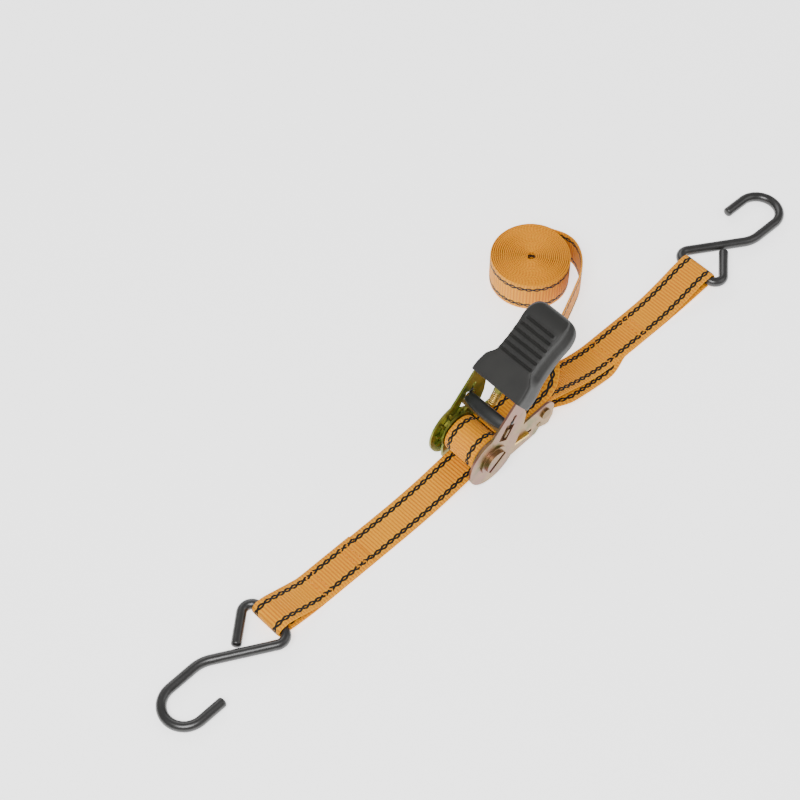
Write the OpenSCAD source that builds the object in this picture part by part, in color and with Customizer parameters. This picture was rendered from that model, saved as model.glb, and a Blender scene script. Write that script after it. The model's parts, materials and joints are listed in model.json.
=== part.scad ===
// Ratchet tie-down for 25 mm webbing, with two coated S-hooks.
// Millimetres. +X runs along the strap to the fixed hook, +Y across it, +Z up from the floor.

/* [Output] */

// Sub-part to draw

/* [Webbing] */

// Webbing width
web_width = 25; // [20:1:30]
// Webbing thickness
web_thick = 1.2; // [0.8:0.1:2]
// Radius of the webbing wound on the mandrel
pack_radius = 13.5; // [12:0.1:13.6]
// Radius of the spare webbing roll
roll_radius = 28; // [20:0.5:35]
// Radius of the hole in the spare roll
roll_eye = 2.6; // [2:0.1:6]
// Roll centre along the strap, from the mandrel
roll_x = 136; // [120:1:150]
// Roll centre across the strap
roll_y = 79; // [70:1:90]

/* [Base frame] */

// Mandrel height above the floor
mandrel_z = 22; // [21:0.5:26]
// Inner face of each base plate from the centre plane
base_inner = 13.3; // [13:0.1:15]
// Base plate thickness
base_thick = 1.5; // [1:0.1:2.5]
// Radius of the base plate's front end
base_front_radius = 13.5; // [12:0.1:14]
// Rear bolt distance from the mandrel
rear_bolt_x = 51.8; // [45:0.1:60]
// Rear bolt height relative to the mandrel
rear_bolt_z = -4; // [-8:0.1:0]
// Radius of the base plate's rear end
base_rear_radius = 8.5; // [7:0.1:10]
// Rear bolt shank radius
bolt_radius = 3; // [2.5:0.1:3.5]
// Rear bolt sleeve radius
sleeve_radius = 4; // [3.5:0.1:4.5]
// Peened head radius
head_radius = 3.9; // [3.5:0.1:5.5]
// Peened head thickness
head_thick = 1.5; // [1:0.1:2]
// Cross tie radius
tie_radius = 2.6; // [2:0.1:3]

/* [Ratchet wheels and mandrel] */

// Tooth count
tooth_count = 12; // [10:1:14]
// Tooth tip radius
tooth_tip = 17.5; // [16:0.1:18]
// Tooth root radius
tooth_root = 13.5; // [12:0.1:14]
// Direction of one tooth face
tooth_face_angle = -18; // [-20:0.5:-16]
// Angle each tooth takes up at its root
tooth_angle = 11.5; // [10:0.5:13]
// Gap beside each wheel
wheel_gap = 0.3; // [0.2:0.05:0.5]
// Wheel thickness
wheel_thick = 1.7; // [1.2:0.1:2.5]
// Mandrel radius
mandrel_radius = 8.5; // [7:0.1:10]
// Mandrel slot width
mandrel_slot = 3; // [2.5:0.1:4]
// Radial running clearance of the mandrel
mandrel_clear = 0.1; // [0.05:0.01:0.1]
// Mandrel stand-out past the collar
mandrel_proud = 2.4; // [1:0.1:4]
// Direction of the mandrel slot at rest
mandrel_slot_angle = 35; // [0:1:180]

/* [Handle] */

// Handle arm thickness
arm_thick = 1.5; // [1:0.1:2.5]
// Radius of the arm's round end
arm_radius = 20.5; // [18:0.1:22]
// Collar ring radius
collar_radius = 11; // [10:0.1:12]
// Collar ring height
collar_height = 1.2; // [0.5:0.1:2]
// Grip direction above the strap at rest
grip_angle = 33; // [20:1:60]
// Grip front face distance from the mandrel
grip_start = 38.2; // [37.5:0.1:45]
// Grip length
grip_length = 61; // [45:1:65]
// Grip underside above the mandrel line
grip_low = 8.6; // [7:0.1:11]
// Grip top above the mandrel line
grip_high = 26.8; // [24:0.1:30]
// Grip half width at the front
grip_half_width = 21.5; // [19.5:0.1:23]
// Grip half width at the waist
grip_half_waist = 18.9; // [18.9:0.1:22]
// Grip groove count
groove_count = 6; // [4:1:8]
// Grip groove pitch
groove_pitch = 5; // [4:0.1:6]

/* [Pawls] */

// Direction of the drive pawl
drive_angle = 58; // [54:0.5:62]
// Drive pawl tip radius at rest
drive_tip = 17.9; // [17.8:0.1:18.5]
// Pawl plate thickness
pawl_thick = 2; // [1.5:0.1:2.2]
// Lock pawl direction
lock_angle = -10; // [-14:0.5:-6]
// Lock pawl tip distance from the mandrel
lock_tip_radius = 15; // [14.5:0.1:15.5]
// Direction of the lock pawl tip
lock_tip_angle = -24; // [-26:0.5:-22]
// Lock pawl plate length
lock_length = 22; // [18:0.5:24]
// Travel of either pawl away from the wheel
pawl_travel = 3.5; // [3:0.1:4]
// Pawl spring coil radius
spring_radius = 2.7; // [2:0.1:3.5]
// Pawl spring wire radius
spring_wire = 0.4; // [0.3:0.05:0.6]

/* [S-hooks] */

// Coated wire radius
wire_radius = 3.4; // [3:0.1:4]
// Hook bow centre-line radius
bow_radius = 14.5; // [12:0.1:18]
// Eye corner centre-line radius
corner_radius = 6.2; // [5.5:0.1:7]
// Shank bend centre-line radius
shank_radius = 22; // [18:0.5:26]
// Shank bend angle
shank_angle = 31; // [25:0.5:35]
// Closing leg angle
closing_angle = 40; // [35:0.5:45]
// Closing leg length
closing_length = 21.3; // [20:0.1:25]
// Main hook bar position
hook_main_x = -173; // [-180:1:-165]
// Fixed hook bar position
hook_fixed_x = 218; // [210:1:225]
// Hook bar height
hook_bar_z = 8; // [6:0.1:10]

/* [Hidden] */

$fn = 96;

base_outer = base_inner + base_thick;
wheel_inner = base_outer + wheel_gap;
wheel_outer = wheel_inner + wheel_thick;
arm_inner = wheel_outer + wheel_gap;
arm_outer = arm_inner + arm_thick;
collar_outer = arm_outer + collar_height;
mandrel_half_length = collar_outer + mandrel_proud;
bore_radius = mandrel_radius + mandrel_clear;
pawl_half_width = wheel_outer + 0.1;
ear_half_width = arm_outer + 0.4;
web_half = web_width / 2;
loop_gap = 0.3;
eye_gap = 0.5;

// Row frame: the origin sits at the middle of the bounding box, on the floor.
hook_reach = 56 + 18.5 + bow_radius + wire_radius;
low_x = hook_main_x - hook_reach;
high_x = hook_fixed_x + hook_reach;
low_y = -(21 + wire_radius);
high_y = roll_y + roll_radius;
mid_x = (low_x + high_x) / 2;
mid_y = (low_y + high_y) / 2;

steel = [0.79, 0.63, 0.38];
steel_dark = [0.55, 0.47, 0.30];
bright = [0.85, 0.72, 0.45];
black = [0.12, 0.12, 0.12];
vinyl = [0.16, 0.16, 0.155];
rubber = [0.15, 0.15, 0.14];
orange = [0.93, 0.55, 0.13];
thread = [0.95, 0.85, 0.60];

module place() {
  translate([-mid_x, -mid_y, 0])
    children();
}

// Places children drawn about the mandrel axis.
module at_mandrel() {
  translate([0, 0, mandrel_z])
    children();
}

// Draws a plan given as (along X, up Z) as a plate from y0 to y1.
module plate(y0, y1) {
  translate([0, y1, 0])
    rotate([90, 0, 0])
      linear_extrude(height = y1 - y0)
        children();
}

module rod_y(x, z, r, y0, y1) {
  translate([x, y1, z])
    rotate([90, 0, 0])
      cylinder(h = y1 - y0, r = r);
}

function polar(r, a) = [r * cos(a), r * sin(a)];

// ---------- base frame ----------

lock_dir = [cos(lock_angle), sin(lock_angle)];
lock_tip = polar(lock_tip_radius, lock_tip_angle);
slit_low = -0.5;
slit_high = lock_length + pawl_travel + 0.8;
slit_width = pawl_thick + 0.4;
tie_s = lock_length + 11.6;
tie_x = lock_tip[0] + lock_dir[0] * tie_s;
tie_z = lock_tip[1] + lock_dir[1] * tie_s;

module lock_frame() {
  translate(lock_tip)
    rotate(lock_angle)
      children();
}

base_edge = concat(
  arc_run([0, 0], base_front_radius, 22, 200, 30),
  [[-13.1, -8], [-13.3, -16.5], [-11.6, -20.8], [20.6, -20.8], [44, -19.2], [47.2, -15.4],
   [53.2, -18.4], [56, -18.4], [59.6, -12.5]],
  arc_run([rear_bolt_x, rear_bolt_z], base_rear_radius, -12, 84, 18),
  [[32, 3.5], [16, 4]]);

module base_outline() {
  difference() {
    polygon(base_edge);
    circle(r = bore_radius);
    translate([rear_bolt_x, rear_bolt_z])
      circle(r = bolt_radius + 0.02);
    translate([tie_x, tie_z])
      circle(r = tie_radius - 0.58);
    lock_frame()
      translate([slit_low, -slit_width / 2])
        square([slit_high - slit_low, slit_width]);
  }
}

module base_plate_near() {
  color(steel)
    at_mandrel()
      plate(-base_outer, -base_inner)
        base_outline();
}

module base_plate_far() {
  color(steel_dark)
    at_mandrel()
      plate(base_inner, base_outer)
        base_outline();
}

module base_cross_tie() {
  color(bright)
    at_mandrel() {
      rod_y(tie_x, tie_z, tie_radius, -base_inner + 0.02, base_inner - 0.02);
      rod_y(tie_x, tie_z, tie_radius - 0.6, -base_outer - 0.25, base_outer + 0.25);
      translate([lock_tip[0] + lock_dir[0] * (lock_length + 8.3), 0,
        lock_tip[1] + lock_dir[1] * (lock_length + 8.3)])
        rotate([0, 90 - lock_angle, 0])
          cylinder(h = 2, r = spring_radius + 0.4);
    }
}

module rear_bolt() {
  color(bright)
    at_mandrel() {
      rod_y(rear_bolt_x, rear_bolt_z, bolt_radius, -base_outer - head_thick,
        base_outer + head_thick);
      rod_y(rear_bolt_x, rear_bolt_z, head_radius, -base_outer - head_thick, -base_outer - 0.02);
      rod_y(rear_bolt_x, rear_bolt_z, head_radius, base_outer + 0.02, base_outer + head_thick);
    }
}

module rear_bolt_sleeve() {
  color(steel)
    at_mandrel()
      plate(-base_inner + 0.1, base_inner - 0.1)
        translate([rear_bolt_x, rear_bolt_z])
          difference() {
            circle(r = sleeve_radius);
            circle(r = bolt_radius + 0.05);
          }
}

// ---------- lock pawl ----------

module lock_pawl() {
  color(bright)
    at_mandrel() {
      plate(-pawl_half_width, pawl_half_width)
        lock_frame()
          translate([0, -pawl_thick / 2])
            square([lock_length, pawl_thick]);
    }
}

// A closed helix of round wire along +Z.
module coil(r, w, len, turns) {
  steps = 16 * turns;
  sides = 6;
  rise = len - 2 * w;
  lean = atan(rise / turns / (2 * 180 / 57.2958 * r));
  pts = [for (i = [0 : steps]) for (j = [0 : sides - 1])
    let (a = 360 * turns * i / steps, b = 360 * j / sides)
    [(r + w * cos(b)) * cos(a) + w * sin(b) * sin(lean) * sin(a),
     (r + w * cos(b)) * sin(a) - w * sin(b) * sin(lean) * cos(a),
     w + rise * i / steps + w * sin(b) * cos(lean)]];
  tube = [for (i = [0 : steps - 1]) for (j = [0 : sides - 1])
    let (k = (j + 1) % sides)
    [i * sides + j, i * sides + k, (i + 1) * sides + k, (i + 1) * sides + j]];
  tri = [for (f = tube) each [[f[0], f[2], f[1]], [f[0], f[3], f[2]]]];
  start = [for (j = [1 : sides - 2]) [0, j, j + 1]];
  last = steps * sides;
  finish = [for (j = [1 : sides - 2]) [last, last + j + 1, last + j]];
  polyhedron(points = pts, faces = concat(tri, start, finish), convexity = 10);
}

module lock_pawl_spring() {
  color(bright)
    at_mandrel()
      translate([lock_tip[0] + lock_dir[0] * (lock_length + 0.1), 0,
        lock_tip[1] + lock_dir[1] * (lock_length + 0.1)])
        rotate([0, 90 - lock_angle, 0])
          coil(spring_radius, spring_wire, 8.1, 6);
}

// ---------- spool ----------

tooth_pitch = 360 / tooth_count;

module wheel_outline() {
  difference() {
    polygon([for (k = [0 : tooth_count - 1]) let (a = tooth_face_angle + k * tooth_pitch) each
      [polar(tooth_root, a), polar(tooth_tip - 0.5, a), polar(tooth_tip, a + 1.2),
       polar(tooth_tip - 0.1, a + 3.4), polar(tooth_tip - 1.5, a + tooth_angle - 5),
       polar(tooth_root + 0.5, a + tooth_angle - 1.1), polar(tooth_root, a + tooth_angle)]]);
    circle(r = mandrel_radius + 0.02);
  }
}

module ratchet_wheel_near() {
  color(steel)
    at_mandrel()
      plate(-wheel_outer, -wheel_inner)
        wheel_outline();
}

module ratchet_wheel_far() {
  color(steel_dark)
    at_mandrel()
      plate(wheel_inner, wheel_outer)
        wheel_outline();
}

module mandrel_half(turn) {
  at_mandrel()
    plate(-mandrel_half_length, mandrel_half_length)
      rotate(mandrel_slot_angle + turn)
        difference() {
          circle(r = mandrel_radius);
          translate([-mandrel_radius - 1, -mandrel_radius - 1])
            square([2 * mandrel_radius + 2, mandrel_radius + 1 + mandrel_slot / 2]);
        }
}

module mandrel_half_upper() {
  color(bright)
    mandrel_half(0);
}

module mandrel_half_lower() {
  color(bright)
    mandrel_half(180);
}

module webbing_wound() {
  color(orange)
    at_mandrel()
      plate(-web_half, web_half) {
        difference() {
          circle(r = pack_radius);
          circle(r = mandrel_radius + 0.2);
        }
        rotate(mandrel_slot_angle)
          translate([-mandrel_radius - 0.6, -web_thick])
            square([2 * mandrel_radius + 1.2, 2 * web_thick]);
      }
}

// ---------- handle ----------

window_low = drive_tip - 3.3;
window_high = drive_tip + 10.1;
window_width = 8.2;
keyhole_high = drive_tip + 16;
keyhole_width = 2.6;
arm_tail = 50;

function on_grip(a, b) = [a * cos(grip_angle) - b * sin(grip_angle),
  a * sin(grip_angle) + b * cos(grip_angle)];

module arm_outline() {
  difference() {
    union() {
      circle(r = arm_radius);
      polygon([[-2.2, 20.3], on_grip(grip_start + 0.5, 25.3), on_grip(arm_tail, 24),
        on_grip(arm_tail, 11.2), on_grip(grip_start, 9.4), [28.6, 22], [27.3, 13.6],
        [20.2, -3], [0, 0]]);
    }
    circle(r = bore_radius);
    rotate(drive_angle)
      translate([window_low, -window_width / 2])
        square([window_high - window_low, window_width]);
    rotate(drive_angle)
      translate([window_high - 1, -keyhole_width / 2])
        square([keyhole_high - window_high + 1, keyhole_width]);
    rotate(drive_angle)
      translate([keyhole_high, 0])
        circle(r = keyhole_width / 2 + 0.4);
  }
}

module collar_outline() {
  difference() {
    circle(r = collar_radius);
    circle(r = bore_radius);
  }
}

module handle_arm_near() {
  color(steel)
    at_mandrel() {
      plate(-arm_outer, -arm_inner)
        arm_outline();
      plate(-collar_outer, -arm_outer + 0.5)
        collar_outline();
    }
}

module handle_arm_far() {
  color(steel_dark)
    at_mandrel() {
      plate(arm_inner, arm_outer)
        arm_outline();
      plate(arm_outer - 0.5, collar_outer)
        collar_outline();
    }
}

seat_r = drive_tip + 22.6;

module handle_bridge() {
  color(steel)
    at_mandrel()
      difference() {
        union() {
          plate(-arm_inner + 0.02, arm_inner - 0.02)
            polygon([on_grip(grip_start + 0.9, 11.4), on_grip(grip_start + 2.5, 11.4),
              on_grip(grip_start + 2.5, 23.8), on_grip(grip_start + 0.9, 23.8)]);
          translate([cos(drive_angle) * seat_r, 0, sin(drive_angle) * seat_r])
            rotate([0, 90 - drive_angle, 0])
              cylinder(h = 4.6, r = spring_radius + 0.5);
        }
        plate(-10, 10)
          polygon([on_grip(grip_start + 2.5, 0), on_grip(grip_start + 12, 0),
            on_grip(grip_start + 12, 40), on_grip(grip_start + 2.5, 40)]);
      }
}

// Grip plan in (along the grip, across) and side profile in (along, up).
arm_slot_gap = 0.05;
g0 = grip_start;
g1 = grip_start + grip_length;

grip_edge = [[0, grip_half_width], [7, grip_half_width - 0.1], [13, grip_half_width - 1.1],
  [19, grip_half_waist + 0.4], [28, grip_half_waist], [38, grip_half_waist + 0.1],
  [45, grip_half_waist + 0.5], [50, grip_half_waist - 0.1], [54.5, grip_half_waist - 1.9],
  [58, 13.2], [60.2, 9], [61, 4]];

module grip_plan() {
  polygon(concat(
    [for (q = grip_edge) [g0 + q[0] * grip_length / 61, q[1]]],
    [for (i = [len(grip_edge) - 1 : -1 : 0])
      [g0 + grip_edge[i][0] * grip_length / 61, -grip_edge[i][1]]]));
}

module grip_side() {
  difference() {
    polygon([[g0, grip_low], [g0 + 8, grip_low - 0.3], [g1 - 13, grip_low + 0.4],
      [g1 - 6, grip_low + 2.2], [g1 - 2, grip_low + 5.4], [g1, grip_low + 8.2],
      [g1 - 0.3, grip_high - 6.4], [g1 - 3, grip_high - 2.6], [g1 - 9, grip_high - 0.6],
      [g0 + 30, grip_high], [g0 + 6, grip_high - 0.3], [g0, grip_high - 1]]);
    for (k = [0 : groove_count - 1])
      translate([g0 + 22 + k * groove_pitch, grip_high + 1.2])
        circle(r = 2, $fn = 24);
  }
}

module grip() {
  color(rubber)
    at_mandrel()
      rotate([0, -grip_angle, 0])
        difference() {
          intersection() {
            translate([0, 0, grip_low - 2])
              linear_extrude(height = grip_high - grip_low + 4)
                grip_plan();
            plate(-grip_half_width - 1, grip_half_width + 1)
              grip_side();
          }
          for (y = [-arm_outer, arm_inner])
            plate(y - arm_slot_gap, y + arm_thick + arm_slot_gap)
              polygon([[g0 - 1, 9.1], [arm_tail + 0.2, 11.05], [arm_tail + 0.2, 24.15],
                [g0 - 1, 25.7]]);
          translate([g0 - 1, -arm_inner - 0.01, 11.2])
            cube([3.7, 2 * arm_inner + 0.02, 12.8]);
        }
}

// ---------- drive pawl ----------

flange_thick = 1.3;
flange_half = 3.8;

module drive_frame() {
  rotate(drive_angle)
    children();
}

module drive_pawl() {
  color(steel)
    at_mandrel() {
      plate(-pawl_half_width, pawl_half_width)
        drive_frame()
          translate([drive_tip, -pawl_thick / 2])
            square([10.2, pawl_thick]);
      plate(-ear_half_width, ear_half_width)
        drive_frame()
          translate([drive_tip, -pawl_thick / 2])
            square([6.2, pawl_thick]);
      for (y = [-pawl_half_width, pawl_half_width - flange_thick])
        plate(y, y + flange_thick)
          drive_frame()
            translate([drive_tip + 3.1, -flange_half])
              square([7, 2 * flange_half]);
    }
}

// A finger bar bowed towards the grip, with a tab in each keyhole slot.
module release_pull() {
  color(black)
    at_mandrel()
      rotate([0, -drive_angle, 0]) {
        translate([drive_tip + 10.3, -arm_outer - 0.2, -1.1])
          cube([2.4, 2 * arm_outer + 0.4, 2.2]);
        translate([drive_tip + 10.3, -pawl_half_width, -3])
          cube([2.2, 2 * pawl_half_width, 8]);
      }
}

module drive_pawl_spring() {
  color(bright)
    at_mandrel()
      translate([cos(drive_angle) * (drive_tip + 12.8), 0, sin(drive_angle) * (drive_tip + 12.8)])
        rotate([0, 90 - drive_angle, 0])
          coil(spring_radius, spring_wire, 9.7, 7);
}

// ---------- S-hooks ----------

line_v = 8;
bow_u = 74.5;
tip_u = 58.5;
bend_u = 56;
bend_end = [bend_u - shank_radius * sin(shank_angle),
  line_v - shank_radius * (1 - cos(shank_angle))];
eye_in_u = corner_radius * (1 + sin(shank_angle));
eye_in_v = bend_end[1] - (bend_end[0] - eye_in_u) * tan(shank_angle);
bar_low = eye_in_v + corner_radius * cos(shank_angle);
bar_high = -bar_low;
leg_u = corner_radius * (1 + sin(closing_angle));
leg_v = bar_high + corner_radius * cos(closing_angle);

// Centre line of the hook: runs joined by arcs.
function arc_run(c, r, a0, a1, n) = [for (i = [0 : n]) c + polar(r, a0 + (a1 - a0) * i / n)];

hook_path = concat(
  [[tip_u, line_v - 2 * bow_radius]],
  arc_run([bow_u, line_v - bow_radius], bow_radius, -90, 90, 22),
  arc_run([bend_u, line_v - shank_radius], shank_radius, 90, 90 + shank_angle, 6),
  arc_run([corner_radius, bar_low], corner_radius, 180 + 90 + shank_angle, 180, 14),
  arc_run([corner_radius, bar_high], corner_radius, 180, 90 - closing_angle, 15),
  [[leg_u + closing_length * cos(closing_angle),
    leg_v - closing_length * sin(closing_angle)]]);
wire_sides = 24;
end_rings = [[0.02, 1.8], [0.35, 0.9], [0.8, 0.3], [1, 0]];

// Rings of the wire: a middle point, a direction and a radius each.
function path_dir(i) = unit((i > 0 ? unit(hook_path[i] - hook_path[i - 1]) : [0, 0])
  + (i < len(hook_path) - 1 ? unit(hook_path[i + 1] - hook_path[i]) : [0, 0]));
path_last = len(hook_path) - 1;
start_rings = [for (e = end_rings) [hook_path[0] - path_dir(0) * e[1] * wire_radius / 1.8, path_dir(0),
  wire_radius * pow(e[0], 0.35)]];
mid_rings = [for (i = [1 : path_last - 1]) [hook_path[i], path_dir(i), wire_radius]];
final_rings = [for (i = [len(end_rings) - 1 : -1 : 0]) let (e = end_rings[i])
  [hook_path[path_last] + path_dir(path_last) * e[1] * wire_radius / 1.8, path_dir(path_last),
   wire_radius * pow(e[0], 0.35)]];
hook_rings = concat(start_rings, mid_rings, final_rings);

module s_hook() {
  count = len(hook_rings);
  pts = [for (q = hook_rings) for (j = [0 : wire_sides - 1])
    let (b = 360 * j / wire_sides, n = [-q[1][1], q[1][0]], m = q[0] + n * q[2] * cos(b))
    [m[0], m[1], q[2] * sin(b)]];
  tube = [for (i = [0 : count - 2]) for (j = [0 : wire_sides - 1])
    let (k = (j + 1) % wire_sides, m = wire_sides * i)
    each [[m + j, m + wire_sides + k, m + k], [m + j, m + wire_sides + j, m + wire_sides + k]]];
  last = wire_sides * (count - 1);
  start = [for (j = [1 : wire_sides - 2]) [0, j, j + 1]];
  finish = [for (j = [1 : wire_sides - 2]) [last, last + j + 1, last + j]];
  polyhedron(points = pts, faces = concat(tube, start, finish), convexity = 10);
}

hook_pitch = asin((hook_bar_z - wire_radius) / (bow_u + bow_radius));

module hook_main() {
  color(vinyl)
    translate([hook_main_x, 0, hook_bar_z])
      rotate([0, -hook_pitch, 0])
        rotate([0, 180, 0])
          s_hook();
}

module hook_fixed() {
  color(vinyl)
    translate([hook_fixed_x, 0, hook_bar_z])
      rotate([0, hook_pitch, 0])
        rotate([180, 0, 0])
          s_hook();
}

// ---------- webbing ----------

// Outline of a band of thickness t about an open run of points.
function unit(v) = v / norm(v);
function run_dir(p, i) = unit(p[min(i + 1, len(p) - 1)] - p[max(i - 1, 0)]);
function side_pt(p, i, t) = let (d = run_dir(p, i)) p[i] + t * [-d[1], d[0]];
function band(p, t) = concat([for (i = [0 : len(p) - 1]) side_pt(p, i, t / 2)],
  [for (i = [len(p) - 1 : -1 : 0]) side_pt(p, i, -t / 2)]);

web_r = wire_radius + eye_gap + web_thick / 2;
low_z = web_thick / 2 + 0.1;
top_z = low_z + web_thick + 0.1;
pack_gap_r = pack_radius + loop_gap + web_thick / 2;
lap_end_x = -97;

main_run = concat(
  [[0.5, mandrel_z - pack_gap_r], [-10, mandrel_z - pack_gap_r - 0.3], [-22, 5.6], [-38, 3],
   [-56, 1.3], [-75, low_z], [-141, low_z], [-151, 1.2], [-162, 2.6]],
  [[hook_main_x + 4, hook_bar_z - web_r]],
  arc_run([hook_main_x, hook_bar_z], web_r, -90, -270, 16),
  [[hook_main_x + 4, hook_bar_z + web_r], [-162, 10.2], [-152, 6], [-145, 3.4], [-139, top_z],
   [lap_end_x, top_z]]);

bolt_r = sleeve_radius + loop_gap + web_thick / 2;
bolt_at = [rear_bolt_x, mandrel_z + rear_bolt_z];
join_x = 137;

fixed_run = concat(
  [[join_x - 0.2, low_z], [120, low_z], [108, 1.6], [92, 4.6], [74, 9.2], [60, 12.4]],
  arc_run(bolt_at, bolt_r, -86, -262, 16),
  [[60, 21], [74, 15.6], [92, 8.4], [108, 3.7], [119, top_z], [160, top_z], [176, 2.9],
   [192, 6.4], [206, 10.8], [hook_fixed_x - 4, hook_bar_z + web_r - 0.2]],
  arc_run([hook_fixed_x, hook_bar_z], web_r, 90, -90, 16),
  [[hook_fixed_x - 4, hook_bar_z - web_r], [202, 2.4], [186, 1.2], [170, low_z], [join_x + 0.2, low_z]]);

module webbing_main() {
  color(orange)
    plate(-web_half, web_half)
      polygon(band(main_run, web_thick));
}

module webbing_fixed() {
  color(orange)
    plate(-web_half, web_half)
      polygon(band(fixed_run, web_thick));
}

// Tail stations: x, y, z of the mid line and the twist from flat.
tail_start = polar(pack_gap_r, 20);
tail_route = [
  [tail_start[0], 0, mandrel_z + tail_start[1], 0],
  [14.7, 0, mandrel_z + 2, 0],
  [16.4, 0, mandrel_z - 0.4, 0],
  [19.2, 0, mandrel_z - 1.9, 0],
  [24, 0, mandrel_z - 2.1, 0],
  [36, 0, mandrel_z + 0.4, 0],
  [46, 0, mandrel_z + 2.4, 0],
  [54, 0, mandrel_z + 3.4, 0],
  [61, 1.2, mandrel_z + 4.4, 2],
  [68, 5.5, mandrel_z + 4.2, 9],
  [76, 12, mandrel_z + 2.2, 32],
  [85, 18, 18.2, 60],
  [95, 22, 14.6, 79],
  [106, 26, 13.4, 90],
  [121, 32.5, 13.4, 90],
  [137, 39.5, 13.4, 90],
  [150, 46, 13.4, 90],
  [160, 54.5, 13.4, 90],
  [166, 65, 13.4, 90],
  [167, 75, 13.4, 90],
  [roll_x + roll_radius + 0.7, roll_y + 7, 13.2, 90]];

function spline(p0, p1, p2, p3, t) = 0.5 * (2 * p1 + (p2 - p0) * t
  + (2 * p0 - 5 * p1 + 4 * p2 - p3) * t * t + (3 * p1 - p0 - 3 * p2 + p3) * t * t * t);
function station(k) = tail_route[max(0, min(k, len(tail_route) - 1))];
tail_steps = 4;
tail_pts = [for (k = [0 : len(tail_route) - 2]) for (s = [0 : tail_steps - 1])
  spline(station(k - 1), station(k), station(k + 1), station(k + 2), s / tail_steps)];
tail_all = concat(tail_pts, [tail_route[len(tail_route) - 1]]);

function xyz(q) = [q[0], q[1], q[2]];
function tail_dir(i) = unit(xyz(tail_all[min(i + 1, len(tail_all) - 1)]) - xyz(tail_all[max(i - 1, 0)]));

module webbing_tail() {
  count = len(tail_all);
  pts = [for (i = [0 : count - 1])
    let (t = tail_dir(i), q = tail_all[i], left = unit([-t[1], t[0], 0]), up = cross(t, left),
      w = cos(q[3]) * left - sin(q[3]) * up, n = cross(t, w), c = xyz(q),
      a = w * web_half, b = n * web_thick / 2)
    each [c - a - b, c + a - b, c + a + b, c - a + b]];
  sides = [for (i = [0 : count - 2]) for (j = [0 : 3])
    let (k = (j + 1) % 4, m = 4 * i)
    each [[m + j, m + k, m + 4 + k], [m + j, m + 4 + k, m + 4 + j]]];
  last = 4 * (count - 1);
  color(orange)
    polyhedron(points = pts, faces = concat(sides, [[0, 2, 1], [0, 3, 2]],
      [[last, last + 1, last + 2], [last, last + 2, last + 3]]), convexity = 10);
}

module webbing_roll() {
  color(orange)
    translate([roll_x, roll_y, 0])
      difference() {
        cylinder(h = web_width, r = roll_radius);
        translate([0, 0, -1])
          cylinder(h = web_width + 2, r = roll_eye);
      }
}

module stitch_band(x) {
  for (row = [-1, 1])
    for (k = [-4 : 4])
      translate([x + row * 2.6 - 0.35, k * 2.6 - 0.9, top_z + web_thick / 2 + 0.02])
        cube([0.7, 1.8, 0.35]);
}

module stitching_main() {
  color(thread) {
    stitch_band(-134);
    stitch_band(-105);
  }
}

module stitching_fixed() {
  color(thread) {
    stitch_band(123);
    stitch_band(155);
  }
}

place() base_plate_near();
place() base_plate_far();
place() base_cross_tie();
place() rear_bolt();
place() rear_bolt_sleeve();
place() lock_pawl();
place() lock_pawl_spring();
place() mandrel_half_upper();
place() mandrel_half_lower();
place() ratchet_wheel_near();
place() ratchet_wheel_far();
place() webbing_wound();
place() handle_arm_near();
place() handle_arm_far();
place() handle_bridge();
place() grip();
place() drive_pawl();
place() release_pull();
place() drive_pawl_spring();
place() hook_main();
place() hook_fixed();
place() webbing_main();
place() webbing_fixed();
place() webbing_tail();
place() webbing_roll();
place() stitching_main();
place() stitching_fixed();
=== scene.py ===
import json
import math

import bpy
import bmesh
from mathutils import Matrix, Vector


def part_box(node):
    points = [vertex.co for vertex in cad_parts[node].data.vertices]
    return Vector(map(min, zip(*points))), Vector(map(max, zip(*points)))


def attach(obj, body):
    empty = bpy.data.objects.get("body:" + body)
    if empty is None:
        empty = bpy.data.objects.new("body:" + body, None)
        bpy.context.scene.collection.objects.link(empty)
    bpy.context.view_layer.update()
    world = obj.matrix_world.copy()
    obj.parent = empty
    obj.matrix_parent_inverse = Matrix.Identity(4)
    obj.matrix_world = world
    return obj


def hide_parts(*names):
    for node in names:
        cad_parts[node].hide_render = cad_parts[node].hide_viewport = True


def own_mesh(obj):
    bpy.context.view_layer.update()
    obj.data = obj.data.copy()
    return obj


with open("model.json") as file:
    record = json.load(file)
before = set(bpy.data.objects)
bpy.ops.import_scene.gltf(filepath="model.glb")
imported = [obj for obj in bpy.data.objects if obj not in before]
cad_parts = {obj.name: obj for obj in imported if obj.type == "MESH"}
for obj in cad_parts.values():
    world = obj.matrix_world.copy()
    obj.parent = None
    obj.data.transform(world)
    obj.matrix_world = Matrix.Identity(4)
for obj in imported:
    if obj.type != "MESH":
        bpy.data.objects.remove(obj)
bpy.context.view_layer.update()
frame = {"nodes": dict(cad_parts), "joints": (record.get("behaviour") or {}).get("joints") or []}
cad = frame["nodes"]
joint = {j["name"]: j for j in frame["joints"]}
SPOOL = Vector(joint["spool_spin"]["pos_m"])
BAR_MAIN = Vector(joint["main_hook_swing"]["pos_m"])
BAR_FIXED = Vector(joint["fixed_hook_swing"]["pos_m"])
DRIVE_DIR = Vector(joint["drive_pawl_slide"]["axis"])
LOCK_DIR = Vector(joint["lock_pawl_slide"]["axis"])
MM = 0.001
Y = Vector((0, 1, 0))
Z = Vector((0, 0, 1))


def mid(node):
    lo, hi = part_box(node)
    return (Vector(lo) + Vector(hi)) / 2


def P(x, y, z):
    """Millimetres from the mandrel axis in the plan and from the floor in height."""
    return Vector((SPOOL.x + x * MM, SPOOL.y + y * MM, z * MM))


BOLT = mid("rear_bolt")
ROLL = mid("webbing_roll")
SZ = SPOOL.z / MM

# ---------------------------------------------------------------- materials


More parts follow.
